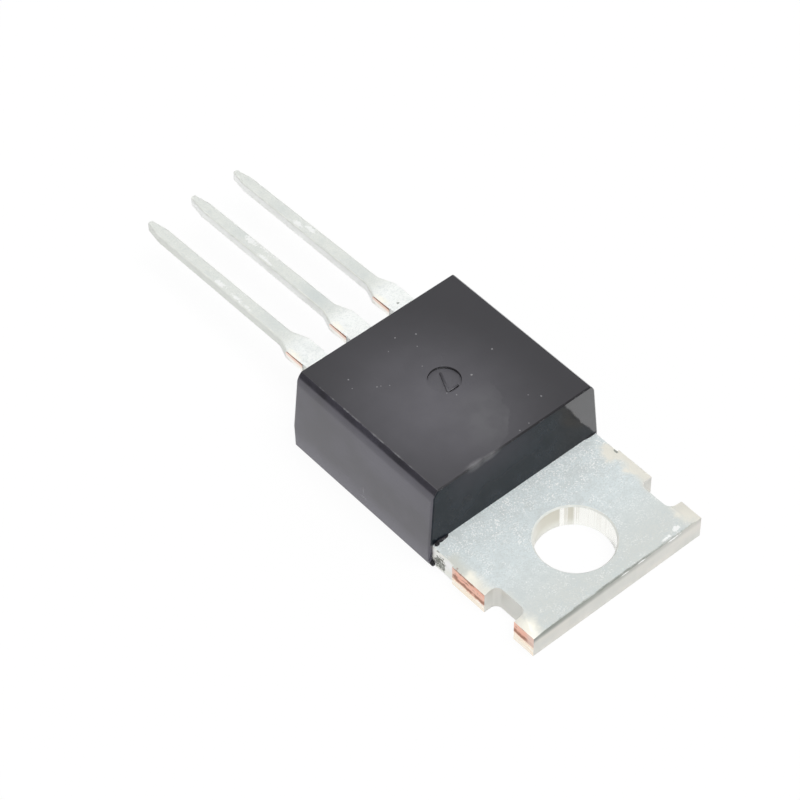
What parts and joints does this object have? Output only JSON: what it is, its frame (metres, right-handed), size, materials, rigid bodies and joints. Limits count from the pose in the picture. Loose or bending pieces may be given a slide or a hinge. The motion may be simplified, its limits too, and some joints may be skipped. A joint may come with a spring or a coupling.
{
  "type": "power transistor",
  "caption": "Power transistor in a flat epoxy package with a drilled copper mounting tab and straight leads for soldering to a board.",
  "frame": {"origin": "centre of the mounting hole, in the plane of the tab's back face", "axes": "+Z out of the tab's front face along the hole, +Y to the tab's free end, leads towards -Y, the emitter lead on +X and the base lead on -X"},
  "size_m": [0.0098, 0.0289, 0.0045],
  "materials": {
    "black_epoxy": "fine matt moulded epoxy, glossier on the drafted front",
    "tinned_copper": "matt tin plate over copper, bare copper on the sheared edges",
    "silicon": "polished silicon with metallised pads",
    "solder": "dull solder",
    "bond_wire": "drawn aluminium wire"
  },
  "bodies": {
    "root": {"moulded_body": "black_epoxy", "heat_sink_tab": "tinned_copper", "base_lead": "tinned_copper", "emitter_lead": "tinned_copper", "transistor_chip": "silicon", "chip_solder": "solder", "base_bond_wire": "bond_wire", "emitter_bond_wire_1": "bond_wire", "emitter_bond_wire_2": "bond_wire"}
  },
  "joints": []
}
